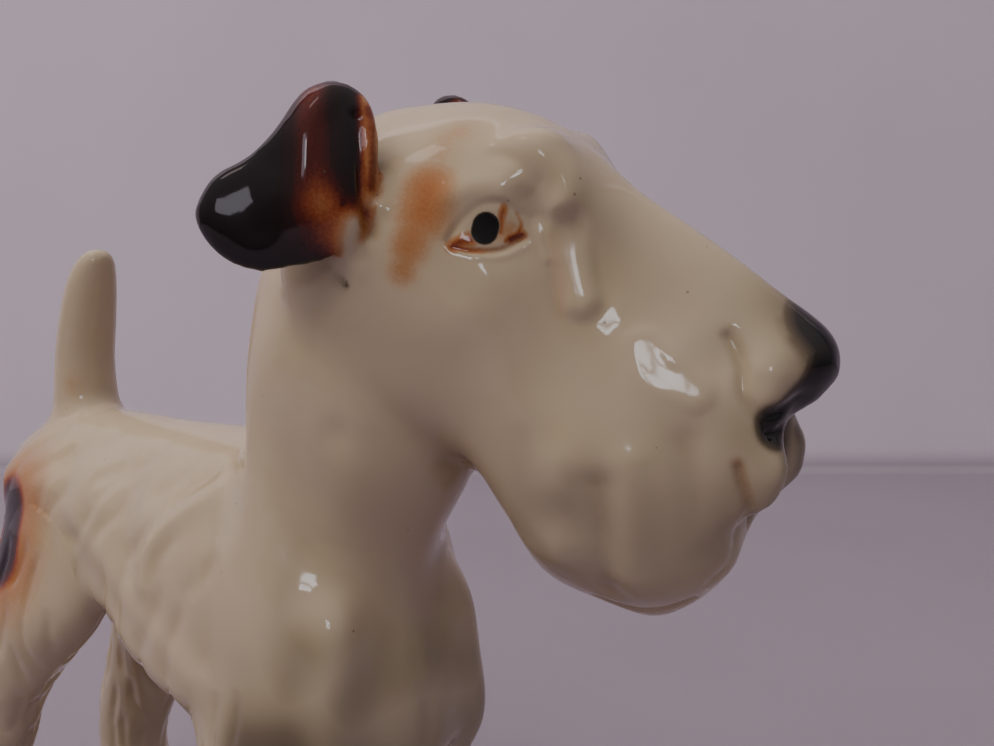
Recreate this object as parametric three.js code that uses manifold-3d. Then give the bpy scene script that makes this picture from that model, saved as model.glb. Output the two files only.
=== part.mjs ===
// Standing wire-haired terrier in glazed porcelain, about ten centimetres tall, its head turned to the left.
// It is luted together from nine castings: a hollow torso with the neck, a hollow head, two folded ears,
// a docked tail and four legs. Millimetres, +Z up, the dog faces +X and its left side is +Y.
import * as THREE from 'three';
import Module from 'manifold-3d';

const wasm = await Module();
wasm.setup();

// Driving dimensions.
const BODY_LENGTH = 69.6;         // neck axis back to the rump
const BODY_WIDTH = 26.4;          // across the chest behind the shoulders
const BACK_HEIGHT = 64.6;         // top of the back over the ground
const HEAD_LENGTH = 51.2;         // back of the skull to the nose
const EAR_LENGTH = 15.1;          // front edge of an ear back to its tip
const TAIL_LENGTH = 23.7;         // root of the tail to its tip
const LUTE_GAP = 0.3;             // film of slip between two castings
const WALL = 2.6;                 // drain-cast wall of the torso and the head
const VENT_RADIUS = 1.8;          // hole under the belly that lets the kiln gases out
const HEAD_YAW = 21;              // degrees to the dog's left
const HEAD_ROLL = 5;              // degrees, left side up

// The tables of ribs and stations were measured on a dog of these sizes, and are stretched from them.
const MEASURED = { length: 69.6, width: 26.4, height: 64.6, head: 51.2, ear: 15.1, tail: 23.7 };
const along = BODY_LENGTH / MEASURED.length;
const across = BODY_WIDTH / MEASURED.width;
const upward = BACK_HEIGHT / MEASURED.height;
const headScale = HEAD_LENGTH / MEASURED.head;
const earScale = EAR_LENGTH / MEASURED.ear;
const tailScale = TAIL_LENGTH / MEASURED.tail;
const stretchRib = ([a, b, c, d, ...w]) => [a * along, b * upward, c * along, d * upward, ...w.map((v) => v * across)];
const stretchStation = ([x, y, z, l, w]) => [x * along, y * across, z * upward, l * along, w * across];

// Places, tied to the sizes.
const VENT_X = -30 * along;
const VENT_Z = 38 * upward;
const VENT_DEPTH = 12 * upward;
const ORIGIN_X = 17.2 * along;    // neck axis ahead of the middle of the footprint
const ORIGIN_Y = -1.6 * across;
const HEAD_AT = [15.5 * along, 5.2 * across, 82 * upward];  // middle of the head, from the neck axis on the ground
const FORE_TREAD = 18.6;          // between the two fore paws
const HIND_TREAD = 22;            // between the two hind paws
const TAIL_ROOT = 62.6;

const rad = THREE.MathUtils.degToRad;

// Smooth curves through the stations of a casting, one per measured quantity.
function through(points, closed = false) {
  return new THREE.CatmullRomCurve3(points.map((p) => new THREE.Vector3(...p)), closed, 'catmullrom', 0.5);
}

// Closed skin over a stack of rings, each end drawn together in one point.
function skin(rings) {
  const around = rings[0].length;
  const middle = (ring) => ring.reduce((sum, p) => sum.add(p), new THREE.Vector3()).divideScalar(around);
  const points = [...rings.flat(), middle(rings[0]), middle(rings.at(-1))];
  const last = rings.length - 1;
  const faces = [];
  for (let j = 0; j < around; j++) {
    const k = (j + 1) % around;
    for (let i = 0; i < last; i++) {
      const [a, b, c, d] = [i * around + j, i * around + k, (i + 1) * around + j, (i + 1) * around + k];
      faces.push(a, b, d, a, d, c);
    }
    faces.push(points.length - 2, k, j);
    faces.push(points.length - 1, last * around + j, last * around + k);
  }
  const geometry = new THREE.BufferGeometry().setFromPoints(points);
  geometry.setIndex(faces);
  return geometry;
}

// A casting swept from rib to rib. A rib is [top x, top z, bottom x, bottom z, half-widths at LEVELS],
// and LEVELS are shares of the way from its top to its bottom.
const LEVELS = [0.1, 0.34, 0.62, 0.87];
function ribbed(ribs, { around, perRib, grow = 0, from = 0, to = 1 }) {
  const tops = through(ribs.map((r) => [r[0], 0, r[1]]));
  const bottoms = through(ribs.map((r) => [r[2], 0, r[3]]));
  const upper = through(ribs.map((r) => [r[4], r[5], 0]));
  const lower = through(ribs.map((r) => [r[6], r[7], 0]));
  const steps = (ribs.length - 1) * perRib;
  const rings = [];
  for (let i = 0; i <= steps; i++) {
    const t = from + ((to - from) * i) / steps;
    const top = tops.getPoint(t);
    const bottom = bottoms.getPoint(t);
    const down = bottom.clone().sub(top).normalize();
    top.addScaledVector(down, -grow);
    bottom.addScaledVector(down, grow);
    const [u, l] = [upper.getPoint(t), lower.getPoint(t)];
    const widths = [u.x, u.y, l.x, l.y].map((w) => Math.max(w + grow, 0.1));
    const side = widths.map((w, n) => [LEVELS[n], w]);
    const outline = [[0, 0], ...side, [1, 0], ...side.map(([q, w]) => [q, -w]).reverse()];
    const section = through(outline.map(([q, w]) => [q, w, 0]), true);
    rings.push(Array.from({ length: around }, (_, j) => {
      const p = section.getPoint(j / around);
      return new THREE.Vector3().lerpVectors(top, bottom, p.x).setY(p.y);
    }));
  }
  return skin(rings);
}

// A limb drawn through level ellipses. A station is [x, y, z, half-length, half-width].
function limb(stations, { around, perStation, grow = 0 }) {
  const path = through(stations.map((s) => [s[0], s[1], s[2]]));
  const girth = through(stations.map((s) => [s[3], s[4], 0]));
  const steps = (stations.length - 1) * perStation;
  const rings = [];
  for (let i = 0; i <= steps; i++) {
    const c = path.getPoint(i / steps);
    const g = girth.getPoint(i / steps);
    rings.push(Array.from({ length: around }, (_, j) => {
      const a = (2 * Math.PI * j) / around;
      return new THREE.Vector3(c.x + (g.x + grow) * Math.cos(a), c.y + (g.y + grow) * Math.sin(a), c.z);
    }));
  }
  return skin(rings);
}

// Pushes or pulls the clay round a point: a move is [x, y, z, radius, dx, dy, dz], made on both sides,
// or on the right side alone where the point is given there.
function modelled(geometry, moves) {
  const position = geometry.getAttribute('position');
  const p = new THREE.Vector3();
  for (const [x, y, z, radius, dx, dy, dz] of moves) {
    for (const side of y <= 0 ? [1] : [1, -1]) {
      const centre = new THREE.Vector3(x, y * side, z);
      for (let i = 0; i < position.count; i++) {
        p.fromBufferAttribute(position, i);
        const share = Math.exp(-p.distanceToSquared(centre) / radius ** 2);
        position.setXYZ(i, p.x + dx * share, p.y + dy * side * share, p.z + dz * share);
      }
    }
  }
  return geometry;
}

// Solid in the dog's frame from a geometry in the frame of the given group.
function solidOf(geometry, place) {
  const placed = geometry.clone().applyMatrix4(place);
  const mesh = (triVerts) => new wasm.Mesh({
    numProp: 3,
    vertProperties: placed.getAttribute('position').array,
    triVerts,
  });
  const faces = new Uint32Array(placed.index.array);
  const solid = new wasm.Manifold(mesh(faces));
  return solid.volume() > 0 ? solid : new wasm.Manifold(mesh(faces.slice().reverse()));
}

function meshOf(name, solid, place, material) {
  const { vertProperties, triVerts, numProp } = solid.getMesh();
  const points = Array.from({ length: vertProperties.length / numProp }, (_, i) => (
    new THREE.Vector3().fromArray(vertProperties, i * numProp)
  ));
  const geometry = new THREE.BufferGeometry().setFromPoints(points);
  geometry.setIndex([...triVerts]);
  geometry.applyMatrix4(place.clone().invert());
  geometry.computeVertexNormals();
  const mesh = new THREE.Mesh(geometry, material);
  mesh.name = name;
  return mesh;
}

const ivoryGlaze = new THREE.MeshStandardMaterial({ color: 0xd9cfbc, roughness: 0.12, metalness: 0 });
const brownGlaze = new THREE.MeshStandardMaterial({ color: 0x4a2114, roughness: 0.1, metalness: 0 });

// Torso and neck in one sweep: from the rump to the withers, fanned round the chest, then up the neck.
const torsoRibs = [
  [-69.6, 55.4, -69.6, 54.4, 0.3, 0.5, 0.5, 0.3],
  [-68.6, 60.2, -68.8, 48.4, 3.4, 6.4, 6.8, 4.8],
  [-65, 63, -66, 43.6, 5, 9.6, 10.2, 7.8],
  [-58.6, 64.2, -59, 41.4, 5.8, 10.8, 11.4, 9],
  [-48, 64.5, -48, 40.2, 6, 11, 11.4, 9.2],
  [-36, 64.6, -36, 38.6, 5.8, 10.6, 11.4, 10],
  [-24, 65, -24, 34.8, 6.4, 11.4, 12.8, 11.8],
  [-14.6, 65.6, -12.6, 32.2, 7.2, 12, 13.2, 12.2],
  [-11.4, 66.2, -2.6, 31, 7.4, 12.2, 13.2, 11.4],
  [-10.5, 68, 6.8, 31, 7.2, 12, 13, 10.4],
  [-10.2, 70.2, 10.8, 35, 6.8, 11.4, 12.2, 9.2],
  [-10.2, 72.8, 10.8, 42, 6.4, 10.8, 11.2, 7.4],
  [-10.3, 75.6, 9, 49.4, 6.2, 10.2, 9.9, 6.2],
  [-10.5, 78.6, 9.9, 55.2, 6.2, 10, 9.4, 6.6],
  [-10.6, 81.6, 13.6, 61.6, 6, 9.9, 10, 7.4],
  [-10, 85, 14.8, 67, 5.6, 9.2, 10.1, 7.4],
  [-7, 88.8, 13.6, 73, 4.6, 7.8, 8.8, 6.8],
  [-1.6, 91.4, 12.6, 79, 3.2, 5.4, 6.2, 4.8],
  [4.6, 90.4, 9.6, 85, 0.4, 0.6, 0.6, 0.4],
].map(stretchRib);

// Head in its own frame: +X to the nose, +Y to the left, from the back of the skull to the nose.
const headRibs = [
  [-19.8, 2.4, -19.8, 1.2, 0.3, 0.5, 0.5, 0.3],
  [-18.8, 8.8, -18.6, -6.4, 4.2, 7.8, 7.8, 5.2],
  [-16, 13.4, -15.2, -14.2, 5.4, 10, 10.4, 8.6],
  [-11.6, 16, -11, -17, 6, 10.9, 11.4, 9.6],
  [-6, 16.6, -5.6, -17.2, 6.4, 11, 11.3, 8.8],
  [-0.4, 16.4, -0.8, -19.2, 6.6, 10.6, 10.9, 8],
  [5, 14.8, 2.2, -23.8, 6.6, 9.6, 10.6, 7.8],
  [9.6, 11.6, 5.4, -28.4, 5.2, 8.2, 10.2, 8],
  [14, 7.9, 10.4, -30, 4, 7.4, 9.8, 8.2],
  [18.4, 4.9, 15.8, -30, 3.6, 7, 9.2, 7.6],
  [22.6, 1.9, 20.4, -28.2, 3.4, 6.6, 8.2, 6.4],
  [26, -0.8, 23.2, -23.6, 3.2, 6.1, 6.8, 5],
  [28.6, -2.7, 24.8, -18.4, 3, 5.4, 5.6, 3.8],
  [30.3, -4.2, 26.6, -13.6, 2.5, 4.4, 4.2, 2.7],
  [31.2, -5.8, 29.4, -10.7, 1.5, 2.6, 2.4, 1.5],
  [31.4, -7.6, 31.3, -8.2, 0.2, 0.3, 0.3, 0.2],
].map((rib) => rib.map((v) => v * headScale));

// Brows, eyes, whiskers and nose, pushed into the clay of the head on both sides.
const headMoves = [
  [7.8, 6, 11, 3.3, 1.1, 1.1, 2.6],          // brow tuft over the eye
  [9.8, 6.2, 8.4, 2.5, 0.8, 0.7, 0.4],       // front end of the brow
  [12.6, 5.6, 5, 3, 0, 0.7, 0],              // root of the muzzle in front of the brow
  [6.6, 9.8, 4.4, 2, 0, -1.3, 0],            // hollow at the inner corner of the eye
  [2.8, 10.6, 4.4, 2.3, 0, -1.2, 0],         // eye socket
  [2.7, 9.6, 4.2, 1.4, 0, 0.9, 0],           // eyeball
  [0.6, 11, -2.6, 3.2, 0, 0.4, 0],           // cheekbone
  [13, 9.6, -14, 7, 0, 1.2, 0],              // whiskers swelling at the side
  [9, 11, -20, 2.2, 0, -0.8, 0],             // groove down the whiskers
  [16.4, 7.4, -27.6, 3, 0, 0.8, -0.4],       // chin tuft
  [17.4, 6.8, -6.6, 3.4, 0, 0.5, 0.1],       // crest where the whiskers leave the muzzle
  [18, 7.6, -0.8, 3, 0, -0.4, 0],            // flat of the muzzle over it
  [23.2, 6.6, -5.8, 1.9, 0, -0.9, 0],        // crease behind the nose wing
  [27, 5.4, -5.4, 2.4, 0, 0.7, 0.3],         // nose wing
  [28.8, 4, -10.4, 1.4, -0.6, -1.3, 0.3],    // nostril
  [25.6, 4.4, -15.8, 2.4, 2.6, 1.6, 0],      // upper lip, front lobe
  [25.2, 4.5, -18.9, 2.5, 3, 1.2, 0],        // lower lobe of the lip
  [23.4, 6.2, -17.8, 1.3, -0.2, -0.6, 0],    // crease of the mouth
  [28, 0, -13.2, 1.8, -2.8, 0, 0.6],         // groove between the two halves of the lip
  [26, 0, -17.2, 1.9, -2.3, 0, 0.2],         // and its lower end
  [26, -4, -19.6, 2.6, -3.1, 0.4, 0],        // lower lobe of the lip, held back on the right side
  [15.4, 0, -31, 4.2, 0, 0, -1.6],           // chin under the beard
].map((move) => move.map((v) => v * headScale));

function headSkin(grow) {
  return modelled(ribbed(headRibs, { around: 46, perRib: 3, grow }), headMoves);
}

const forelegStations = (y) => [
  [0.2, y * 0.7, 55, 4.6, 2.8],
  [-0.2, y * 0.78, 50, 9, 4.2],
  [-2.2, y * 0.88, 43, 11.6, 4.8],
  [-2.6, y * 0.96, 36, 11.8, 5.2],
  [-3, y, 29, 8.2, 5],
  [-3.6, y, 22, 6.2, 4.8],
  [-3.2, y, 15, 5.8, 4.6],
  [-2.6, y, 9, 5.7, 4.6],
  [-1, y, 4.6, 6.7, 5.1],
  [-0.2, y, 1.8, 7.1, 5.4],
  [-0.4, y, 0, 6.3, 4.8],
].map(stretchStation);

const hindlegStations = (y) => [
  [-52, y * 0.6, 57, 8, 3.2],
  [-52, y * 0.7, 51, 13, 4.6],
  [-53.2, y * 0.78, 44.5, 14.4, 5.2],
  [-55.4, y * 0.88, 38, 13.6, 5.5],
  [-60.6, y * 0.95, 31.4, 11.4, 5.2],
  [-65.8, y, 24.4, 9.4, 4.9],
  [-69, y, 18, 8.8, 4.7],
  [-71.4, y, 12.6, 8, 4.6],
  [-71.6, y, 8, 7.4, 4.6],
  [-70.4, y, 4, 7.8, 5.1],
  [-69.6, y, 1.6, 8, 5.4],
  [-69.8, y, 0, 7.2, 4.8],
].map(stretchStation);

const tailStations = [
  [-60, 0, 59, 5.4, 5],
  [-60.2, 0, 62.6, 5.2, 4.8],
  [-60.6, 0, 66, 4.5, 4.3],
  [-60.6, 0, 71, 4.3, 4],
  [-59.4, 0, 76.4, 4.1, 3.8],
  [-57.8, 0, 81.6, 3.6, 3.3],
  [-56.2, 0, 85, 2.5, 2.3],
  [-55.6, 0, 86.3, 0.8, 0.8],
].map(([x, y, z, l, w]) => [x, y, TAIL_ROOT + (z - TAIL_ROOT) * tailScale, l, w]).map(stretchStation);

// Folded ear in the head's frame: ribs from its front edge back to its tip, as
// [top x, top y, top z, bottom x, bottom y, bottom z, half-thickness]. The left ear is stuck on further
// forward than the right one.
const FAR_EAR_FORWARD = 2.4;
const EAR_FRONT = -6.8;
const earRibs = [
  [-6.8, 8.8, 13.4, -7, 9.8, 8.8, 0.3],
  [-8, 8.6, 16.8, -7.8, 11.4, 4.8, 1.6],
  [-10.4, 9.4, 18.4, -10.4, 13, 2.8, 2],
  [-13.3, 10.5, 17.8, -13.4, 14.4, 2.2, 2.2],
  [-15.5, 12.1, 14.5, -16.2, 15.6, 1.9, 2.1],
  [-18, 13.5, 12.1, -18.8, 16.4, 3, 1.9],
  [-20.4, 14.7, 10.6, -20.8, 16.6, 5, 1.5],
  [-21.8, 16, 8, -21.9, 16.4, 7, 0.3],
].map((rib) => rib.map((v, n) => (n === 0 || n === 3 ? EAR_FRONT + (v - EAR_FRONT) * earScale : v) * headScale));

function ear(side) {
  const forward = side > 0 ? FAR_EAR_FORWARD : 0;
  const tops = through(earRibs.map((r) => [r[0] + forward, r[1] * side, r[2]]));
  const bottoms = through(earRibs.map((r) => [r[3] + forward, r[4] * side, r[5]]));
  const thickness = through(earRibs.map((r) => [r[6], 0, 0]));
  const [perRib, around] = [3, 22];
  const steps = (earRibs.length - 1) * perRib;
  const rings = [];
  for (let i = 0; i <= steps; i++) {
    const t = i / steps;
    const middle = tops.getPoint(t).add(bottoms.getPoint(t)).multiplyScalar(0.5);
    const half = tops.getPoint(t).sub(middle);
    const along = tops.getTangent(t).add(bottoms.getTangent(t)).normalize();
    const outward = new THREE.Vector3().crossVectors(half, along).normalize();
    const thick = Math.max(thickness.getPoint(t).x, 0.1);
    rings.push(Array.from({ length: around }, (_, j) => {
      const a = (2 * Math.PI * j) / around;
      return middle.clone().addScaledVector(half, Math.cos(a)).addScaledVector(outward, thick * Math.sin(a));
    }));
  }
  return skin(rings);
}

const dog = new THREE.Group();
dog.position.set(ORIGIN_X, ORIGIN_Y, 0);
const head = new THREE.Group();
head.position.set(...HEAD_AT);
head.rotation.set(rad(HEAD_ROLL), 0, rad(HEAD_YAW), 'ZYX');
head.updateMatrix();
dog.add(head);

const IN_DOG = new THREE.Matrix4();
const IN_HEAD = head.matrix;

const torsoOuter = (grow) => solidOf(ribbed(torsoRibs, { around: 28, perRib: 2, grow }), IN_DOG);
const headOuter = solidOf(headSkin(0), IN_HEAD);
const headSeat = solidOf(headSkin(LUTE_GAP), IN_HEAD);
const torsoSeat = torsoOuter(LUTE_GAP);

// The slip drained out of both castings leaves them hollow, and the neck joins the two hollows.
const hollow = { around: 16, perRib: 1, grow: -WALL };
const torsoHollow = solidOf(ribbed(torsoRibs, { ...hollow, from: 0.07, to: 0.9 }), IN_DOG);
const headHollow = solidOf(ribbed(headRibs, { ...hollow, from: 0.13, to: 0.6 }), IN_HEAD);
const vent = wasm.Manifold.cylinder(VENT_DEPTH, VENT_RADIUS, VENT_RADIUS, 20, true).translate([VENT_X, 0, VENT_Z]);

const torsoCasting = torsoOuter(0).subtract(headSeat).subtract(torsoHollow).subtract(vent);
dog.add(meshOf('torso', torsoCasting, IN_DOG, ivoryGlaze));
head.add(meshOf('head', headOuter.subtract(headHollow).subtract(torsoHollow), IN_HEAD, ivoryGlaze));

for (const [name, side] of [['right_ear', -1], ['left_ear', 1]]) {
  const casting = solidOf(ear(side), IN_HEAD).subtract(headSeat);
  head.add(meshOf(name, casting, IN_HEAD, brownGlaze));
}
for (const [name, side] of [['right', -1], ['left', 1]]) {
  const legOptions = { around: 22, perStation: 2 };
  const fore = solidOf(limb(forelegStations((side * FORE_TREAD) / 2), legOptions), IN_DOG);
  const hind = solidOf(limb(hindlegStations((side * HIND_TREAD) / 2), legOptions), IN_DOG);
  dog.add(meshOf(`${name}_foreleg`, fore.subtract(torsoSeat), IN_DOG, ivoryGlaze));
  dog.add(meshOf(`${name}_hind_leg`, hind.subtract(torsoSeat), IN_DOG, ivoryGlaze));
}
const tail = solidOf(limb(tailStations, { around: 18, perStation: 2 }), IN_DOG).subtract(torsoSeat);
dog.add(meshOf('tail', tail, IN_DOG, ivoryGlaze));

export default dog;
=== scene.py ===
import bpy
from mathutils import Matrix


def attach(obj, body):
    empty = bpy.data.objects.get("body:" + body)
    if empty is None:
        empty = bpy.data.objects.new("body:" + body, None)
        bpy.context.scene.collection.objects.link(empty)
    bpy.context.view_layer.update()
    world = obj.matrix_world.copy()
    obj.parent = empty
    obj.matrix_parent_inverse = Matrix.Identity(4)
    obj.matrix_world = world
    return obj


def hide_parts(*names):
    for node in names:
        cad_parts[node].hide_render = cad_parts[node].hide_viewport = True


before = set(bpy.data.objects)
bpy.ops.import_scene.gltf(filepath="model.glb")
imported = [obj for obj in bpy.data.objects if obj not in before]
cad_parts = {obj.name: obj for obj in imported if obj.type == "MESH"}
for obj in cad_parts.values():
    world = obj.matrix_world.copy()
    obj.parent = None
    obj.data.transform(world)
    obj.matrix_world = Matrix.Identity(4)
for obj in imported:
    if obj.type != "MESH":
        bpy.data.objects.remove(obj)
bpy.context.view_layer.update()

# Torso with the neck: one slip-cast porcelain shell, swept from the rump to the withers, fanned
# round the chest and up the neck. Everything is worked out in millimetres in the dog's own frame,
# with the neck's axis over the origin, and is put into the row's frame when the pieces are fired.
import math

import bmesh
import bpy
import mathutils
import numpy as np

TORSO_RIBS = [
    # top (along, up), bottom (along, up), half-width at each of the levels below
    [-69.6, 55.4, -69.6, 54.4, 0.3, 0.5, 0.5, 0.3],
    [-68.6, 60.2, -68.8, 48.4, 3.4, 6.4, 6.8, 4.8],
    [-65, 63, -66, 43.6, 5, 9.6, 10.2, 7.8],
    [-58.6, 64.2, -59, 41.4, 5.8, 10.8, 11.4, 9],
    [-48, 64.5, -48, 40.2, 6, 11, 11.4, 9.2],
    [-36, 64.6, -36, 38.6, 5.8, 10.6, 11.4, 10],
    [-24, 65, -24, 34.8, 6.4, 11.4, 12.8, 11.8],
    [-14.6, 65.6, -12.6, 32.2, 7.2, 12, 13.2, 12.2],
    [-11.4, 66.2, -2.6, 31, 7.4, 12.2, 13.2, 11.4],
    [-10.5, 68, 6.8, 31, 7.2, 12, 13, 10.4],
    [-10.2, 70.2, 10.8, 35, 6.8, 11.4, 12.2, 9.2],
    [-10.2, 72.8, 10.8, 42, 6.4, 10.8, 11.2, 7.4],
    [-10.3, 75.6, 9, 49.4, 6.2, 10.2, 9.9, 6.2],
    [-10.5, 78.6, 9.9, 55.2, 6.2, 10, 9.4, 6.6],
    [-10.6, 81.6, 13.6, 61.6, 6, 9.9, 10, 7.4],
    [-10, 85, 14.8, 67, 5.6, 9.2, 10.1, 7.4],
    [-7, 88.8, 13.6, 73, 4.6, 7.8, 8.8, 6.8],
    [-1.6, 91.4, 12.6, 79, 3.2, 5.4, 6.2, 4.8],
    [4.6, 90.4, 9.6, 85, 0.4, 0.6, 0.6, 0.4],
]
RIB_LEVELS = [0.1, 0.34, 0.62, 0.87]
THINNEST = 0.1


def through(values, places, closed=False):
    """Smooth curve through rows of numbers: on each piece a cubic that leaves and meets
    the rows with half the difference of their two neighbours. places run from 0 to 1."""
    rows = np.asarray(values, float)
    count = len(rows)
    if closed:
        run = places * count
        first = np.floor(run).astype(int)
        a, b, c, d = (rows[(first + k) % count] for k in (-1, 0, 1, 2))
    else:
        rows = np.concatenate([2 * rows[:1] - rows[1:2], rows, 2 * rows[-1:] - rows[-2:-1]])
        run = places * (count - 1)
        first = np.minimum(np.floor(run).astype(int), count - 2)
        a, b, c, d = (rows[first + k] for k in (0, 1, 2, 3))
    t = (run - first).reshape((-1,) + (1,) * (rows.ndim - 1))
    leave, meet = (c - a) / 2, (d - b) / 2
    cubed, squared = 2 * b - 2 * c + leave + meet, 3 * c - 3 * b - 2 * leave - meet
    return cubed * t**3 + squared * t**2 + leave * t + b


def wrapped(rings):
    """Closed skin over a grid of rings: two triangles per cell of the grid, and a fan to the
    middle of the first and the last ring. Turned over if its volume comes out negative."""
    steps, around = rings.shape[:2]
    points = np.concatenate([rings.reshape(-1, 3), rings[:1].mean(1), rings[-1:].mean(1)])
    i, j = np.meshgrid(np.arange(steps - 1), np.arange(around), indexing="ij")
    k = (j + 1) % around
    a, b, c, d = i * around + j, i * around + k, (i + 1) * around + j, (i + 1) * around + k
    j, k = np.arange(around), (np.arange(around) + 1) % around
    start = np.full(around, steps * around)
    end = start + 1
    last = (steps - 1) * around
    faces = np.concatenate([
        np.stack([a, b, d], -1).reshape(-1, 3),
        np.stack([a, d, c], -1).reshape(-1, 3),
        np.stack([start, k, j], -1),
        np.stack([end, last + j, last + k], -1),
    ])
    p, q, r = (points[faces[:, n]] for n in range(3))
    return points, (faces if (p * np.cross(q, r)).sum() > 0 else faces[:, ::-1])


def ribbed(ribs, around, per_rib):
    """Ribs carried along a profile: a rib's point at level q lies q of the way from its top to its
    bottom, and as far out as a closed smooth curve through its four half-widths on both sides."""
    line = through(ribs, np.linspace(0, 1, (len(ribs) - 1) * per_rib + 1))
    top, bottom, widths = line[:, 0:2], line[:, 2:4], np.maximum(line[:, 4:8], THINNEST).T
    nought = np.zeros((1, len(line)))
    places = np.arange(around) / around
    level = through(np.r_[0, RIB_LEVELS, 1, RIB_LEVELS[::-1]], places, closed=True)[None, :, None]
    out = through(np.concatenate([nought, widths, nought, -widths[::-1]]), places, closed=True).T
    flat = top[:, None] * (1 - level) + bottom[:, None] * level
    return np.stack([flat[..., 0], out, flat[..., 1]], -1)


castings = {"torso": wrapped(ribbed(TORSO_RIBS, 120, 9))}

# Head: the second slip casting, a long square muzzle with a beard. It is made in its own frame,
# +X to the nose and +Y to its left, and is luted on turned to the dog's left and a little tipped.
HEAD_AT = np.array([15.5, 5.2, 82.0])
HEAD_YAW, HEAD_ROLL = math.radians(21), math.radians(5)
HEAD_RIBS = [
    # the same eight numbers as the torso's ribs, in the head's frame
    [-19.8, 2.4, -19.8, 1.2, 0.3, 0.5, 0.5, 0.3],
    [-18.8, 8.8, -18.6, -6.4, 4.2, 7.8, 7.8, 5.2],
    [-16, 13.4, -15.2, -14.2, 5.4, 10, 10.4, 8.6],
    [-11.6, 16, -11, -17, 6, 10.9, 11.4, 9.6],
    [-6, 16.6, -5.6, -17.2, 6.4, 11, 11.3, 8.8],
    [-0.4, 16.4, -0.8, -19.2, 6.6, 10.6, 10.9, 8],
    [5, 14.8, 2.2, -23.8, 6.6, 9.6, 10.6, 7.8],
    [9.6, 11.6, 5.4, -28.4, 5.2, 8.2, 10.2, 8],
    [14, 7.9, 10.4, -30, 4, 7.4, 9.8, 8.2],
    [18.4, 4.9, 15.8, -30, 3.6, 7, 9.2, 7.6],
    [22.6, 1.9, 20.4, -28.2, 3.4, 6.6, 8.2, 6.4],
    [26, -0.8, 23.2, -23.6, 3.2, 6.1, 6.8, 5],
    [28.6, -2.7, 24.8, -18.4, 3, 5.4, 5.6, 3.8],
    [30.3, -4.2, 26.6, -13.6, 2.5, 4.4, 4.2, 2.7],
    [31.2, -5.8, 29.4, -10.7, 1.5, 2.6, 2.4, 1.5],
    [31.4, -7.6, 31.3, -8.2, 0.2, 0.3, 0.3, 0.2],
]
HEAD_MOVES = [
    # middle, reach, and how far the clay is pushed: on both sides of the head where the middle lies
    # to the left, and else there alone
    [7.8, 6, 11, 3.3, 1.1, 1.1, 2.6],  # brow tuft over the eye
    [9.8, 6.2, 8.4, 2.5, 0.8, 0.7, 0.4],  # front end of the brow
    [11.8, 4.8, 7.4, 2.4, 0, 0.9, 0.2],  # side of the muzzle's root, under the brow
    [12.6, 5.6, 5, 3, 0, 0.7, 0],  # root of the muzzle in front of the brow
    [6.6, 9.8, 4.4, 2, 0, -1.3, 0],  # hollow at the inner corner of the eye
    [2.8, 10.6, 4.4, 2.3, 0, -1.2, 0],  # eye socket
    [2.7, 9.6, 4.2, 1.4, 0, 0.9, 0],  # eyeball
    [0.6, 11, -2.6, 3.2, 0, 0.4, 0],  # cheekbone
    [13, 9.6, -14, 7, 0, 1.2, 0],  # whiskers swelling at the side
    [9, 11, -20, 2.2, 0, -0.8, 0],  # groove down the whiskers
    [16.4, 7.4, -27.6, 3, 0, 0.8, -0.4],  # chin tuft
    [17.4, 6.8, -6.6, 3.4, 0, 0.5, 0.1],  # crest where the whiskers leave the muzzle
    [18, 7.6, -0.8, 3, 0, -0.4, 0],  # flat of the muzzle over it
    [23.2, 6.6, -5.8, 1.9, 0, -0.9, 0],  # crease behind the nose wing
    [27, 5.4, -5.4, 2.4, 0, 0.7, 0.3],  # nose wing
    [28.8, 4, -10.4, 1.4, -0.6, -1.3, 0.3],  # nostril
    [25.6, 4.4, -15.8, 2.6, 2.4, 1.4, 0],  # upper lip, front lobe
    [25.2, 4.5, -18.9, 2.8, 2.3, 1, 0],  # lower lobe of the lip
    [23.4, 6.2, -17.8, 1.3, -0.2, -0.6, 0],  # crease of the mouth
    [28, 0, -13.2, 2, -1.9, 0, 0.4],  # groove between the two halves of the lip
    [26, 0, -17.2, 2.1, -1.8, 0, 0],  # and its lower end
    [25.6, -4, -20, 3.2, -2.1, 0.2, 0],  # lower lobe of the lip, held back on the right side
    [22.4, -3.6, -24.8, 3, 0.9, 0, 0],  # front of the beard, right half
    [15.4, 0, -31, 4.2, 0, 0, -1.6],  # chin under the beard
]
yaw = np.array([
    [math.cos(HEAD_YAW), -math.sin(HEAD_YAW), 0],
    [math.sin(HEAD_YAW), math.cos(HEAD_YAW), 0],
    [0, 0, 1],
])
roll = np.array([
    [1, 0, 0],
    [0, math.cos(HEAD_ROLL), -math.sin(HEAD_ROLL)],
    [0, math.sin(HEAD_ROLL), math.cos(HEAD_ROLL)],
])
head_turn = yaw @ roll


def on_head(points, side=1):
    """Points of the head's frame in the dog's own frame, mirrored first for side -1."""
    return (np.asarray(points, float) * [1, side, 1]) @ head_turn.T + HEAD_AT


def pushed(points, moves):
    """Clay pushed round a middle: each point moves by a share of the push, the share being
    e to the minus square of (distance over reach)."""
    points = points.copy()
    for x, y, z, reach, *push in moves:
        for side in ([1] if y <= 0 else [1, -1]):
            away = ((points - [x, y * side, z]) ** 2).sum(-1, keepdims=True)
            points += np.exp(-away / reach**2) * (np.array(push) * [1, side, 1])
    return points


head_points, head_faces = wrapped(pushed(ribbed(HEAD_RIBS, 150, 9), HEAD_MOVES))
castings["head"] = (on_head(head_points), head_faces)

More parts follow.
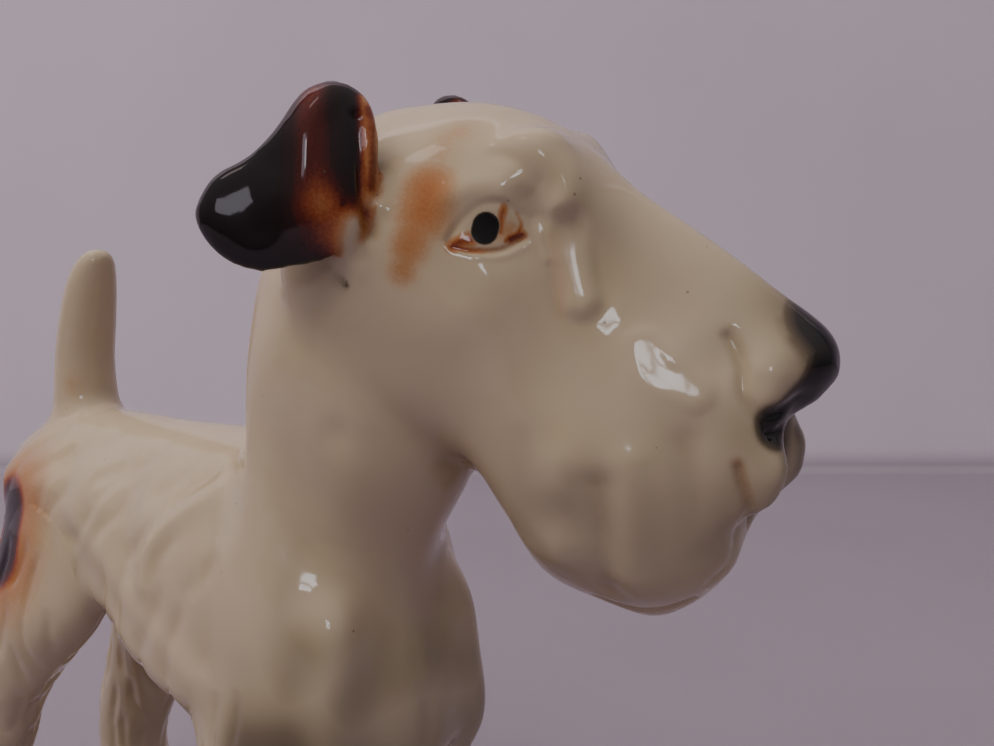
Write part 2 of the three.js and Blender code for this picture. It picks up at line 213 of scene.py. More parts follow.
# Ears: two small solid leaves of clay, folded over at the top, pressed on to the skull and
# luted along their front edge, so that the tips stand out backwards.
FAR_EAR_FORWARD = 2.4
EAR_RIBS = [
    # top edge, bottom edge, half-thickness, for the left ear in the head's frame
    [-6.8, 8.8, 13.4, -7, 9.8, 8.8, 0.3],
    [-8, 8.6, 16.8, -7.8, 11.4, 4.8, 1.6],
    [-10.4, 9.4, 18.4, -10.4, 13, 2.8, 2],
    [-13.3, 10.5, 17.8, -13.4, 14.4, 2.2, 2.2],
    [-15.5, 12.1, 14.5, -16.2, 15.6, 1.9, 2.1],
    [-18, 13.5, 12.1, -18.8, 16.4, 3, 1.9],
    [-20.4, 14.7, 10.6, -20.8, 16.6, 5, 1.5],
    [-21.8, 16, 8, -21.9, 16.4, 7, 0.3],
]


def leaf(ribs, side, around=64, per_rib=10):
    """Leaf of clay: rings run round the middle line between its top and bottom edge, an ellipse
    of half the width between the edges and of the leaf's half-thickness across them."""
    line = through(ribs, np.linspace(0, 1, (len(ribs) - 1) * per_rib + 1)) * [1, side, 1, 1, side, 1, 1]
    top, bottom, thick = line[:, 0:3], line[:, 3:6], np.maximum(line[:, 6:7], THINNEST)
    middle = (top + bottom) / 2
    half = top - middle
    across = np.cross(half, np.gradient(middle, axis=0))
    across /= np.linalg.norm(across, axis=1, keepdims=True)
    turn = np.linspace(0, 2 * np.pi, around, endpoint=False)[None, :, None]
    return middle[:, None] + half[:, None] * np.cos(turn) + (across * thick)[:, None] * np.sin(turn)


for name, side in (("right_ear", -1), ("left_ear", 1)):
    ear_points, ear_faces = wrapped(leaf(EAR_RIBS, side))
    ear_points += [FAR_EAR_FORWARD * (side > 0), 0, 0]
    castings[name] = (on_head(ear_points), ear_faces)

# Tail: a docked tail, a solid plug of clay carried straight up from the rump.
TAIL_STATIONS = [
    # middle, half-length along X, half-width along Y
    [-60, 0, 59, 5.4, 5],
    [-60.2, 0, 62.6, 5.2, 4.8],
    [-60.6, 0, 66, 4.5, 4.3],
    [-60.6, 0, 71, 4.3, 4],
    [-59.4, 0, 76.4, 4.1, 3.8],
    [-57.8, 0, 81.6, 3.6, 3.3],
    [-56.2, 0, 85, 2.5, 2.3],
    [-55.6, 0, 86.3, 0.8, 0.8],
]


def limb(stations, around=72, per_station=10):
    """Level ellipses carried up a path: each ring is the path's point plus its half-length along
    X times a cosine, and its half-width along Y times a sine."""
    line = through(stations, np.linspace(0, 1, (len(stations) - 1) * per_station + 1))
    turn = np.linspace(0, 2 * np.pi, around, endpoint=False)[None, :]
    ring = np.zeros((len(line), around, 3))
    ring[..., 0] = line[:, 3:4] * np.cos(turn)
    ring[..., 1] = line[:, 4:5] * np.sin(turn)
    return line[:, None, :3] + ring


castings["tail"] = wrapped(limb(TAIL_STATIONS))

# Legs: four solid castings with feathering, standing square. Their upper ends go into the torso's
# flanks, and the flat of each foot is the ground line.
FORE_TREAD, HIND_TREAD = 18.6, 22.0
FORELEG_STATIONS = [
    # along, share of half the tread, up, half-length along X, half-width along Y
    [0.2, 0.7, 55, 4.6, 2.8],
    [-0.2, 0.78, 50, 9, 4.2],
    [-2.2, 0.88, 43, 11.6, 4.8],
    [-2.6, 0.96, 36, 11.8, 5.2],
    [-3, 1, 29, 8.2, 5],
    [-3.6, 1, 22, 6.2, 4.8],
    [-3.2, 1, 15, 5.8, 4.6],
    [-2.6, 1, 9, 5.7, 4.6],
    [-1, 1, 4.6, 6.7, 5.1],
    [-0.2, 1, 1.8, 7.1, 5.4],
    [-0.4, 1, 0, 6.3, 4.8],
]
HIND_LEG_STATIONS = [
    [-52, 0.6, 57, 8, 3.2],
    [-52, 0.7, 51, 13, 4.6],
    [-53.2, 0.78, 44.5, 14.4, 5.2],
    [-55.4, 0.88, 38, 13.6, 5.5],
    [-60.6, 0.95, 31.4, 11.4, 5.2],
    [-65.8, 1, 24.4, 9.4, 4.9],
    [-69, 1, 18, 8.8, 4.7],
    [-71.4, 1, 12.6, 8, 4.6],
    [-71.6, 1, 8, 7.4, 4.6],
    [-70.4, 1, 4, 7.8, 5.1],
    [-69.6, 1, 1.6, 8, 5.4],
    [-69.8, 1, 0, 7.2, 4.8],
]
LEGS = {
    "foreleg": (FORELEG_STATIONS, FORE_TREAD),
    "hind_leg": (HIND_LEG_STATIONS, HIND_TREAD),
}
for name, side in (("right", -1), ("left", 1)):
    for leg, (stations, tread) in LEGS.items():
        castings[f"{name}_{leg}"] = wrapped(limb(np.array(stations) * [1, side * tread / 2, 1, 1, 1]))

# Luting: the nine castings are stuck together with slip and sponged, so that the clay runs from one
# into the next. The joined skin is taken off the castings on a fine lattice, and each of its points
# keeps the number of the casting it came from.
CLAY_LATTICE = 0.32
NAMES = list(castings)
VENT_AT = (-30.0, 0.0)
VENT_RADIUS = 1.8
VENT_LEVELS = (30.0, 34.0, 38.0, 42.0, 46.0)


def clay(name, points, faces):
    """Blender object of plain faces, at the points as they are given."""
    mesh = bpy.data.meshes.new(name)
    mesh.from_pydata(points.tolist(), [], faces.tolist())
    made = bpy.data.objects.new(name, mesh)
    bpy.context.scene.collection.objects.link(made)
    return made


def as_seen(made):
    """The object's mesh with its modifiers, as a new mesh."""
    bpy.context.view_layer.update()
    graph = bpy.context.evaluated_depsgraph_get()
    seen = made.evaluated_get(graph)
    return bpy.data.meshes.new_from_object(seen, preserve_all_data_layers=True, depsgraph=graph)


def read_out(items, key, wide, kind=float):
    """Array of one property of a mesh's items, with a row of so many numbers for each."""
    values = np.empty(len(items) * wide, kind)
    items.foreach_get(key, values)
    return values.reshape(-1, wide)


def placed(mesh):
    """Points and normals of a mesh."""
    return read_out(mesh.vertices, "co", 3), read_out(mesh.vertex_normals, "vector", 3)


def corners_of(mesh):
    """The three corners of every triangle."""
    mesh.calc_loop_triangles()
    return read_out(mesh.loop_triangles, "vertices", 3, np.int32)


turn = np.linspace(0, 2 * np.pi, 48, endpoint=False)
bore = np.zeros((len(VENT_LEVELS), len(turn), 3))
bore[..., 0] = VENT_AT[0] + VENT_RADIUS * np.cos(turn)
bore[..., 1] = VENT_AT[1] + VENT_RADIUS * np.sin(turn)
bore[..., 2] = np.array(VENT_LEVELS)[:, None]
torso_clay = clay("torso_clay", *castings["torso"])
bore_clay = clay("bore_clay", *wrapped(bore))
cut = torso_clay.modifiers.new("vent", "BOOLEAN")
cut.object = bore_clay
cut.operation = "DIFFERENCE"
cut.solver = "EXACT"
vented = as_seen(torso_clay)
castings["torso"] = (placed(vented)[0], corners_of(vented))

starts = np.cumsum([0] + [len(points) for points, _ in castings.values()])
joined = clay(
    "joined_clay",
    np.concatenate([points for points, _ in castings.values()]),
    np.concatenate([faces + start for (_, faces), start in zip(castings.values(), starts)]),
)
numbers = np.repeat(np.arange(len(castings)), [len(points) for points, _ in castings.values()])
mark = joined.data.attributes.new("casting", "FLOAT", "POINT")
mark.data.foreach_set("value", numbers.astype(np.float32))

lattice = joined.copy()
lattice.data = joined.data.copy()
bpy.context.scene.collection.objects.link(lattice)
grid = lattice.modifiers.new("lattice", "REMESH")
grid.mode = "VOXEL"
grid.voxel_size = CLAY_LATTICE
grid.use_smooth_shade = True
nearest = bpy.data.node_groups.new("nearest_casting", "GeometryNodeTree")
nearest.interface.new_socket("Geometry", in_out="INPUT", socket_type="NodeSocketGeometry")
nearest.interface.new_socket("Geometry", in_out="OUTPUT", socket_type="NodeSocketGeometry")


def linear(code):
    """sRGB hex to linear colour."""
    parts = [int(code[n:n + 2], 16) / 255 for n in (1, 3, 5)]
    return [c / 12.92 if c <= 0.04045 else ((c + 0.055) / 1.055) ** 2.4 for c in parts] + [1.0]


def node(tree, kind, settings=None, inputs=None, stops=()):
    """Adds a node, with its settings by name and its inputs by name or number, each a value or
    another node's output. stops are a colour ramp's places and hex colours."""
    added = tree.nodes.new(kind)
    for key, value in (settings or {}).items():
        setattr(added, key, value)
    for number, (place, code) in enumerate(stops):
        elements = added.color_ramp.elements
        element = elements[number] if number < 2 else elements.new(place)
        element.position = place
        element.color = linear(code)
    for key, value in (inputs or {}).items():
        if isinstance(value, bpy.types.NodeSocket):
            tree.links.new(value, added.inputs[key])
        else:
            added.inputs[key].default_value = value
    return added


came_in = node(nearest, "NodeGroupInput")
source = node(nearest, "GeometryNodeObjectInfo", {}, {"Object": joined})
number = node(nearest, "GeometryNodeInputNamedAttribute", {"data_type": "FLOAT"}, {"Name": "casting"})
sample = node(nearest, "GeometryNodeSampleNearestSurface", {"data_type": "FLOAT"}, {
    "Mesh": source.outputs["Geometry"],
    "Value": number.outputs["Attribute"],
})
kept = node(nearest, "GeometryNodeStoreNamedAttribute", {"data_type": "FLOAT", "domain": "POINT"}, {
    "Geometry": came_in.outputs[0],
    "Name": "casting",
    "Value": sample.outputs["Value"],
})
node(nearest, "NodeGroupOutput", {}, {0: kept.outputs[0]})
lattice.modifiers.new("nearest", "NODES").node_group = nearest
skin = as_seen(lattice)
for spare in (torso_clay, bore_clay, joined, lattice):
    bpy.data.objects.remove(spare, do_unlink=True)


def set_points(mesh, points):
    """Puts the points back and gives the new normals."""
    mesh.vertices.foreach_set("co", points.ravel())
    mesh.update()
    return placed(mesh)[1]


def casting_of(mesh):
    """Number of the casting that every point came from."""
    number = read_out(mesh.attributes["casting"].data, "value", 1, np.float32)
    return np.rint(number[:, 0]).astype(int)


def edges_of(mesh):
    """Both ends of every edge."""
    return read_out(mesh.edges, "vertices", 2, np.int32).T


def spread_out(values, rounds=1):
    """Mean of each point's neighbours along the edges, for one number a point or for several, and
    taken again in every round."""
    a, b = ends
    count = np.maximum(np.bincount(a, minlength=len(values)) + np.bincount(b, minlength=len(values)), 1)
    columns = values.T.reshape(-1, len(values))
    for _ in range(rounds):
        columns = [
            (np.bincount(a, column[b], len(column)) + np.bincount(b, column[a], len(column))) / count
            for column in columns
        ]
    return np.stack(columns, -1).reshape(values.shape)


STEP_IN, STEP_OUT = 0.5, 0.52


def rubbed(rounds, where=1.0):
    """Takes fine steps off without shrinking: every round goes a step of the way to the neighbours'
    mean, and then a slightly longer one back."""
    for step in (STEP_IN, -STEP_OUT) * rounds:
        points[:] += step * where * (spread_out(points) - points)


def slip_filled(rounds, steps, where, hollow, ridge):
    """Moves points along their normals towards their neighbours' mean, by one share of the way in a
    hollow and by another on a ridge. The normals are taken anew in every round."""
    global normals
    for _ in range(rounds):
        for _ in range(steps):
            rise = ((spread_out(points) - points) * normals).sum(-1, keepdims=True)
            share = hollow * np.maximum(rise, 0) + ridge * np.minimum(rise, 0)
            points[:] += where * share * normals
        normals = set_points(skin, points)


points, normals = placed(skin)
ends = edges_of(skin)
rubbed(rounds=5)
# Slip fills the corners between castings, and where the legs and the tail meet the torso the clay is
# worked over once more, until no edge is left.
JOINT_GAIN, JOINT_WIDTH = 12.0, 40
slip_filled(rounds=9, steps=4, where=1.0, hollow=0.85, ridge=0.3)
of_torso = spread_out((casting_of(skin) == NAMES.index("torso")).astype(float), JOINT_WIDTH)
of_limbs = spread_out((casting_of(skin) >= NAMES.index("tail")).astype(float), JOINT_WIDTH)
joint = np.clip(JOINT_GAIN * of_torso * of_limbs, 0, 1)[:, None]
slip_filled(rounds=16, steps=6, where=joint, hollow=0.8, ridge=0.35)

# Around the eyes the skin is taken twice as fine, because the painter's thinnest lines are there.
EYES = [(3.2, 9.0, 5.2), (3.2, -9.0, 5.2)]
EYE_REACH, EYE_BLEND = 5.0, 5.4
fine = bmesh.new()
fine.from_mesh(skin)
middles = on_head(EYES)
for middle in middles:
    away = np.linalg.norm(points - middle, axis=1)
    near_by = np.flatnonzero(away < EYE_REACH)
    fine.verts.ensure_lookup_table()
    inside = {fine.verts[int(n)] for n in near_by}
    around_eye = [edge for edge in fine.edges if edge.verts[0] in inside and edge.verts[1] in inside]
    bmesh.ops.subdivide_edges(fine, edges=around_eye, cuts=1, use_grid_fill=True)
fine.to_mesh(skin)
fine.free()
points, normals = placed(skin)
ends = edges_of(skin)
for middle in middles:
    rubbed(rounds=3, where=(np.linalg.norm(points - middle, axis=1) < EYE_BLEND)[:, None])
normals = set_points(skin, points)
of_casting = casting_of(skin)


# How fast a share grows as the skin turns to the viewer, and at how many reaches it ends.
FACING_GAIN = 1.6
SHARE_ENDS = 3.0


def share_near(path, reach, seen_from=None, flat=False, soft=None):
    """Indices of the points near a path and their share: e to the minus square of (distance over
    reach), or with soft, 1 inside the reach and 0 past reach plus soft. flat leaves out the
    distance along the direction it is seen from, and only points facing that way take part."""
    path = np.asarray(path, float)
    if len(path) > 2:
        path = through(path, np.linspace(0, 1, (len(path) - 1) * 4 + 1))
    margin = (SHARE_ENDS * reach if soft is None else reach + soft) + 0.01
    low, high = path.min(0) - margin, path.max(0) + margin
    keep = np.abs(seen_from) < 0.5 if flat else np.ones(3, bool)
    inside = np.flatnonzero(((points[:, keep] > low[keep]) & (points[:, keep] < high[keep])).all(1))
    spots = points[inside][:, keep]
    distance = np.full(len(inside), np.inf)
    for start, end in zip(path[:-1, keep], path[1:, keep]):
        run = end - start
        along = np.clip(((spots - start) @ run) / max(run @ run, 1e-9), 0, 1)
        distance = np.minimum(distance, np.linalg.norm(spots - start - along[:, None] * run, axis=1))
    if soft is None:
        share = np.exp(-((distance / reach) ** 2))
    else:
        edge = np.clip((reach + soft - distance) / max(soft, 1e-6), 0, 1)
        share = edge * edge * (3 - 2 * edge)
    if seen_from is not None:
        turned = normals[inside] @ np.asarray(seen_from, float)
        share = share * np.clip(turned * FACING_GAIN, 0, 1)
    return inside, share


# Tooling of the face with a wooden modelling tool before the bisque firing: brow, lids, wrinkles,
# nose, lips and the folds of the beard. Each line is drawn on both sides of the head.
FACE_LINES = [
    # path in the head's frame, width of the tool, height (minus is a groove)
    # brow, the folds of the two lids and the rim of the lower one
    ([(0, 9.6, 8.2), (2, 9, 8.8), (4, 8.5, 8.6)], 1.5, 0.4),
    ([(0, 10.3, 4.3), (1.1, 9.9, 6), (2.7, 9.3, 7.2), (4.5, 8.7, 7.2), (5.9, 8.2, 6.2)],
     0.4, -0.28),
    ([(0.4, 10.2, 3.7), (2.1, 9.7, 3.3), (4.2, 8.9, 3.3), (6, 7.9, 4.2)], 0.34, -0.22),
    ([(2.4, 9.7, 2.9), (3.6, 9.3, 2.8), (4.8, 8.8, 2.9), (6.2, 8, 3.6)], 0.36, 0.07),
    # stop, top of the crest, two wrinkles before the eye, front of the brow, and the crest
    ([(6.6, 7.6, 7.6), (6.9, 7.5, 6.2)], 1.2, -0.4),
    ([(9, 6.9, 6.8), (9.5, 6.9, 5.8)], 1.1, 0.35),
    ([(7, 7.4, 5.6), (7.4, 7.5, 4), (7.9, 7.5, 2.4)], 0.36, 0.2),
    ([(8, 7.3, 5.2), (8.3, 7.4, 3.6), (8.7, 7.4, 2.2)], 0.36, 0.16),
    ([(4.8, 6.2, 12.9), (7.1, 6.4, 11.3), (9, 6.2, 9.6), (9.6, 6.6, 8.2)], 1.3, 0.34),
    ([(9.3, 6.6, 6.2), (9.8, 6.9, 3.4), (10.5, 7.3, 0.6), (10.9, 7.4, -0.6)], 1.3, 0.4),
    # ridge where the whiskers leave the muzzle, and a wrinkle in the brow
    ([(12.6, 7.3, -2.2), (15.2, 7.5, -4.8), (17.6, 7.8, -6.6), (20, 7.6, -8.1), (22, 6.8, -7.9)],
     2.6, 0.22),
    ([(3.2, 7.4, 11.6), (5.4, 7.3, 10.6), (7.2, 7.2, 9)], 0.6, -0.16),
    # nose: the crease behind the wing, the wing, the nostril and the lower edge
    ([(22.8, 4.6, -4.4), (23.6, 5, -5.6), (24.1, 5.7, -7), (24.3, 6.3, -8.8),
      (25.3, 6.5, -10.4), (26.4, 5.9, -12)], 0.6, -0.42),
    ([(25, 6.5, -6.2), (26.4, 5.9, -7.4), (26.6, 6, -8.6)], 1.2, 0.25),
    ([(26.4, 6.1, -10.6), (27.6, 4.9, -10.4), (28.6, 4, -9.8)], 0.55, -0.55),
    ([(29.4, 0, -11.2), (28.8, 2.2, -11.6), (27.6, 4.2, -12), (26.4, 5.6, -12.3)], 0.5, -0.5),
    # lips: the groove in the middle and the crease of the mouth
    ([(30.4, 0, -9.6), (29, 0, -11.8), (26.6, 0, -15), (25, 0, -18.6), (23.6, 0, -21.6)],
     0.5, -0.5),
    ([(24.1, 7.3, -14.9), (24.5, 7.3, -16.4), (24.9, 6.8, -18.2), (24.5, 5.8, -20)], 0.5, -0.42),
    # folds and swells of the beard, its lower seam, and the hollow under the cheek
    ([(13.1, 10.5, -16.6), (13.2, 10.2, -19.4), (13, 8.6, -22.4), (12.5, 6.8, -26.6)], 1.7, -0.62),
    ([(15.6, 10.6, -14.6), (15.8, 9.6, -19.6), (15.6, 7.8, -24.4)], 1.7, 0.34),
    ([(20.3, 8.7, -12.8), (20.8, 8, -17), (20.7, 6.5, -22.2)], 1.6, -0.38),
    ([(9.8, 11.2, -14.6), (9.4, 11, -19.4), (8.6, 9, -24)], 1.5, 0.28),
    ([(6.8, 11.2, -13), (6, 10.6, -18), (5.4, 8.6, -22)], 1.6, -0.2),
    ([(10.6, 4.6, -29), (12.6, 3.9, -29.6), (15.8, 3.6, -29.8), (19.4, 3.2, -28.6)], 0.5, -0.45),
    ([(21.6, 4.6, -26), (22.4, 3.8, -23.6), (23, 3.4, -21.6)], 0.7, -0.3),
    ([(-1.9, 5.9, -16.6), (-5.5, 6.6, -16.2), (-8.6, 9.4, -14.4), (-11, 11, -13)], 1.6, -0.34),
]
EAR_LINES = [
    # rolled edge and hollow of the leaf, the fold with the swell before it, and the foot of the ear
    ([(-10, 11.6, 17.6), (-11.6, 12.9, 14.4), (-11.5, 14.1, 10.4), (-11.5, 14.7, 5.5)], 1.3, 0.55),
    ([(-15.4, 15.2, 11.4), (-16.2, 15.9, 8.6), (-15.4, 16.2, 6)], 2.6, -0.5),
    ([(-8.2, 10.5, 14.9), (-7.5, 11.5, 11.4), (-7.2, 11.6, 8), (-7.1, 11.1, 4.9)], 0.62, -0.6),
    ([(-6.7, 9.4, 14.2), (-6.3, 10.2, 10.6), (-6.3, 10.6, 7.4)], 0.8, 0.3),
    ([(-10.9, 11.9, 1.9), (-9.6, 11.6, 0.5)], 0.32, -0.3),
    ([(-9.4, 11.7, 3), (-8.2, 11.6, 1.8)], 1, 0.25),
]


def tool(lines, in_head=True, both=True):
    """Presses or raises the skin along each line, by the line's height times its share, along the
    normals."""
    global normals
    for path, width, height in lines:
        for side in ([1, -1] if both and any(p[1] for p in path) else [1]):
            drawn = on_head(path, side) if in_head else np.array(path) * [1, side, 1]
            outward = drawn.mean(0) - (HEAD_AT if in_head else drawn.mean(0) * [1, 0, 1])
            inside, share = share_near(drawn, width)
            away = normals[inside] @ (outward / max(np.linalg.norm(outward), 1e-6))
            points[inside] += normals[inside] * (height * share * np.clip(away * 3 + 1, 0, 1))[:, None]
    normals = set_points(skin, points)


tool(FACE_LINES)
tool(EAR_LINES)

# Flats left by the tool on both sides of the head. They catch the window as one clear patch.
FACE_FLATS = [
    # path in the head's frame, way that the flat faces, half-width, soft edge, share
    ([(13.6, 7.3, -1.8), (12.9, 7.5, -3)], [0.257, 0.911, 0.322], 0.5, 1.1, 0.8),
    ([(16.2, 7.4, -4.8), (17.6, 7.8, -7), (20.6, 7.6, -8.6)], [0.233, 0.91, 0.343], 0.6, 1.6, 0.85),
    ([(0.4, 10.7, 2.4), (1.6, 10.6, 1)], [0.2, 0.965, 0.17], 1.2, 2, 0.4),
    ([(9.7, 6.8, 5.2), (10.2, 7.3, 2.4), (10.9, 7.7, -1)], [0.28, 0.92, 0.29], 0.55, 1.7, 0.82),
]
FLAT_DEPTH = 1.0
for path, facing, reach, soft, amount in FACE_FLATS:
    for side in (1, -1):
        drawn = on_head(path, side)
        facing_out = (np.array(facing) * [1, side, 1]) @ head_turn.T
        inside, share = share_near(drawn, reach, soft=soft)
        over = (points[inside] - drawn[0]) @ facing_out
        level = (over * share).sum() / share.sum()
        pressed = amount * share * np.clip(over - level, -FLAT_DEPTH, FLAT_DEPTH)
        points[inside] -= pressed[:, None] * facing_out
normals = set_points(skin, points)

# Tooling of the wire coat: short curved locks cut with the same tool, lying back along the spine
# and hanging down the flanks, the chest and the legs. The neck and the skull stay smooth.
draw = np.random.default_rng(7)
# How far a lock's start, lean and length stray, how much it curls, and how full its middle is.
START_ACROSS, START_UP, LEAN_OFF, LENGTH_OFF = 0.8, 0.9, 0.16, 0.25
CURL, FULL_MIDDLE = 0.5, 1.15


def locks(across, up, lean, seen_from, length, width, depth, belongs):
    """Rows of locks on a jittered grid of starts, seen square on from one side: each is a groove
    that starts across and up, runs down by its lean and curls a little, and fades at its ends."""
    global normals
    seen = np.array(seen_from, float)
    axis = 1 if abs(seen[0]) > 0.5 else 0
    member = np.isin(of_casting, [NAMES.index(name) for name in belongs])
    for row, level in enumerate(up):
        for start in across[:-1] + (row % 2) * 0.5 * (across[1] - across[0]):
            jitter = draw.uniform(-1, 1, 4)
            where = np.array([start + START_ACROSS * jitter[0], level + START_UP * jitter[1]])
            bend = lean(*where) + LEAN_OFF * jitter[2]
            size = length * (1 + LENGTH_OFF * jitter[3])
            steps = np.linspace(0, 1, 5)[:, None]
            turned = bend + CURL * (steps - 0.5) * (1 if (row + int(start)) % 2 else -1)
            way = np.concatenate([-np.sin(turned), -np.cos(turned)], 1)
            flat = where + np.cumsum(way, 0) * size / len(steps)
            path = np.zeros((len(steps), 3))
            path[:, axis] = flat[:, 0]
            path[:, 2] = flat[:, 1]
            inside, share = share_near(path, width, seen_from=seen, flat=True)
            ours = member[inside]
            inside, share = inside[ours], share[ours]
            if not len(inside):
                continue
            along = (points[inside][:, [axis, 2]] - flat[0]) @ (flat[-1] - flat[0])
            along /= ((flat[-1] - flat[0]) ** 2).sum()
            fade = np.clip(FULL_MIDDLE - (2 * along - 1) ** 2, 0, 1)
            points[inside] += normals[inside] * (depth * share * fade)[:, None]
    normals = set_points(skin, points)


FLANK_LINES = [
    # path seen from the side, width of the tool, height
    ([(-11, 60), (-16, 57), (-20, 53), (-20.6, 49)], 1.7, 0.5),
    ([(-42, 53), (-34, 50), (-27, 47.4), (-17, 44), (-8, 41)], 2.2, 0.4),
    ([(-30, 57), (-28, 54), (-26, 51.4)], 3.4, -0.6),
    ([(-48, 60), (-44, 56), (-42, 51)], 2.2, -0.35),
    ([(-8, 56), (-7, 50), (-7.4, 44)], 2.6, -0.3),
]


FORELEGS = ["right_foreleg", "left_foreleg"]
HIND_LEGS = ["right_hind_leg", "left_hind_leg"]


def flank_lean(x, z):
    """Angle from straight down: nearly level along the spine, steeper below."""
    return 0.25 + 0.8 * np.clip((z - 46) / 18, 0, 1)


for side in (-1, 1):
    seen = np.array((0.0, side, 0.0))
    for path, width, height in FLANK_LINES:
        inside, share = share_near([(x, 0, z) for x, z in path], width, seen_from=seen, flat=True)
        share = share * (of_casting[inside] == NAMES.index("torso"))
        points[inside] += normals[inside] * (height * share)[:, None]
    normals = set_points(skin, points)
    locks(np.arange(-66, -2, 7.0), np.arange(63, 38, -5.8), flank_lean, seen, 12, 1.3, -0.24, ["torso"])
    for legs, width, heights in (
        (FORELEGS, np.arange(-14, 6, 4.2), np.arange(44, 9, -6.6)),
        (HIND_LEGS, np.arange(-78, -38, 5.2), np.arange(50, 10, -6.8)),
    ):
        locks(width, heights, lambda x, z: 0.18, seen, 9.5, 0.85, -0.32, legs)
    for legs, heights, seen in (
        (FORELEGS, np.arange(28, 9, -6.2), (1, 0, 0)),
        (FORELEGS, np.arange(38, 9, -6.2), (-1, 0, 0)),
        (HIND_LEGS, np.arange(34, 9, -6.2), (1, 0, 0)),
        (HIND_LEGS, np.arange(30, 9, -6.2), (-1, 0, 0)),
    ):
        starts = np.sort(side * np.arange(5.0, 14.5, 3.1))
        locks(starts, heights, lambda y, z: 0.05, seen, 8, 0.7, -0.28, legs)
for way, gap, top, depth in ((1, 5.4, 50, -0.2), (-1, 4.8, 58, -0.24)):
    starts, heights = np.arange(-9, 9.5, gap), np.arange(top, top - 14, -5.6)
    locks(starts, heights, lambda y, z: 0.02 * y, (way, 0, 0), 9, 1.0, depth, ["torso"])

# The breast is sponged smooth where the forelegs start, and so are the elbows: there every point goes
# to the mean of its neighbours again and again.
SPONGINGS, SPONGE_SHARE = 45, 0.7
for path, reach, soft in (
    ([(8, 7, 52), (9, 6.4, 45), (9.6, 6.8, 37)], 2.6, 3),
    ([(-8, 13, 39.4), (-8.8, 12.6, 36.6)], 1.2, 1.8),
):
    for side in (1, -1):
        inside, share = share_near(np.array(path) * [1, side, 1], reach, soft=soft)
        for _ in range(SPONGINGS):
            mean = spread_out(points)[inside]
            points[inside] += (SPONGE_SHARE * share)[:, None] * (mean - points[inside])
normals = set_points(skin, points)

# Toes: three short cuts in the front of each paw. The soles are rubbed flat on the bench.
TOE_GAP, TOE_SET_BACK = 2.2, 0.28
SOLE_LEVEL = 0.12
for side in (-1, 1):
    for front, tread in ((6.7, FORE_TREAD / 2), (-61.8, HIND_TREAD / 2)):
        for offset in (-TOE_GAP, 0, TOE_GAP):
            y = side * tread + offset
            tip = front - abs(offset) * TOE_SET_BACK
            toe_cut = [(tip - 3.4, y, 5.6), (tip - 0.6, y, 3.4), (tip, y, 0.4)]
            tool([(toe_cut, 0.42, -0.5)], in_head=False, both=False)
points[points[:, 2] < SOLE_LEVEL, 2] = 0
normals = set_points(skin, points)

# Underglaze painting, sprayed and brushed by hand before the glaze: brown on the ears, the brow and the
# hip, black on the nose and the pupils. The black also lays painted shade at the foot of the ear, on
# the far lip, on the beard and on the breast. Each number is how thick the colour lies, from 0 to 1.
brown, black = np.zeros(len(points)), np.zeros(len(points))


def painted_on(coat, strokes, in_head=True, sides=(1, -1)):
    """Lays colour along the strokes in turn: a point's coat rises to the stroke's amount times the
    point's share. A negative amount wipes that much of the colour off by the same share."""
    for path, reach, amount, *soft in strokes:
        for side in sides:
            drawn = on_head(path, side) if in_head else np.array(path) * [1, side, 1]
            inside, share = share_near(drawn, reach, soft=soft[0] if soft else None)
            if amount < 0:
                coat[inside] *= 1 + amount * share
            else:
                coat[inside] = np.maximum(coat[inside], amount * share)


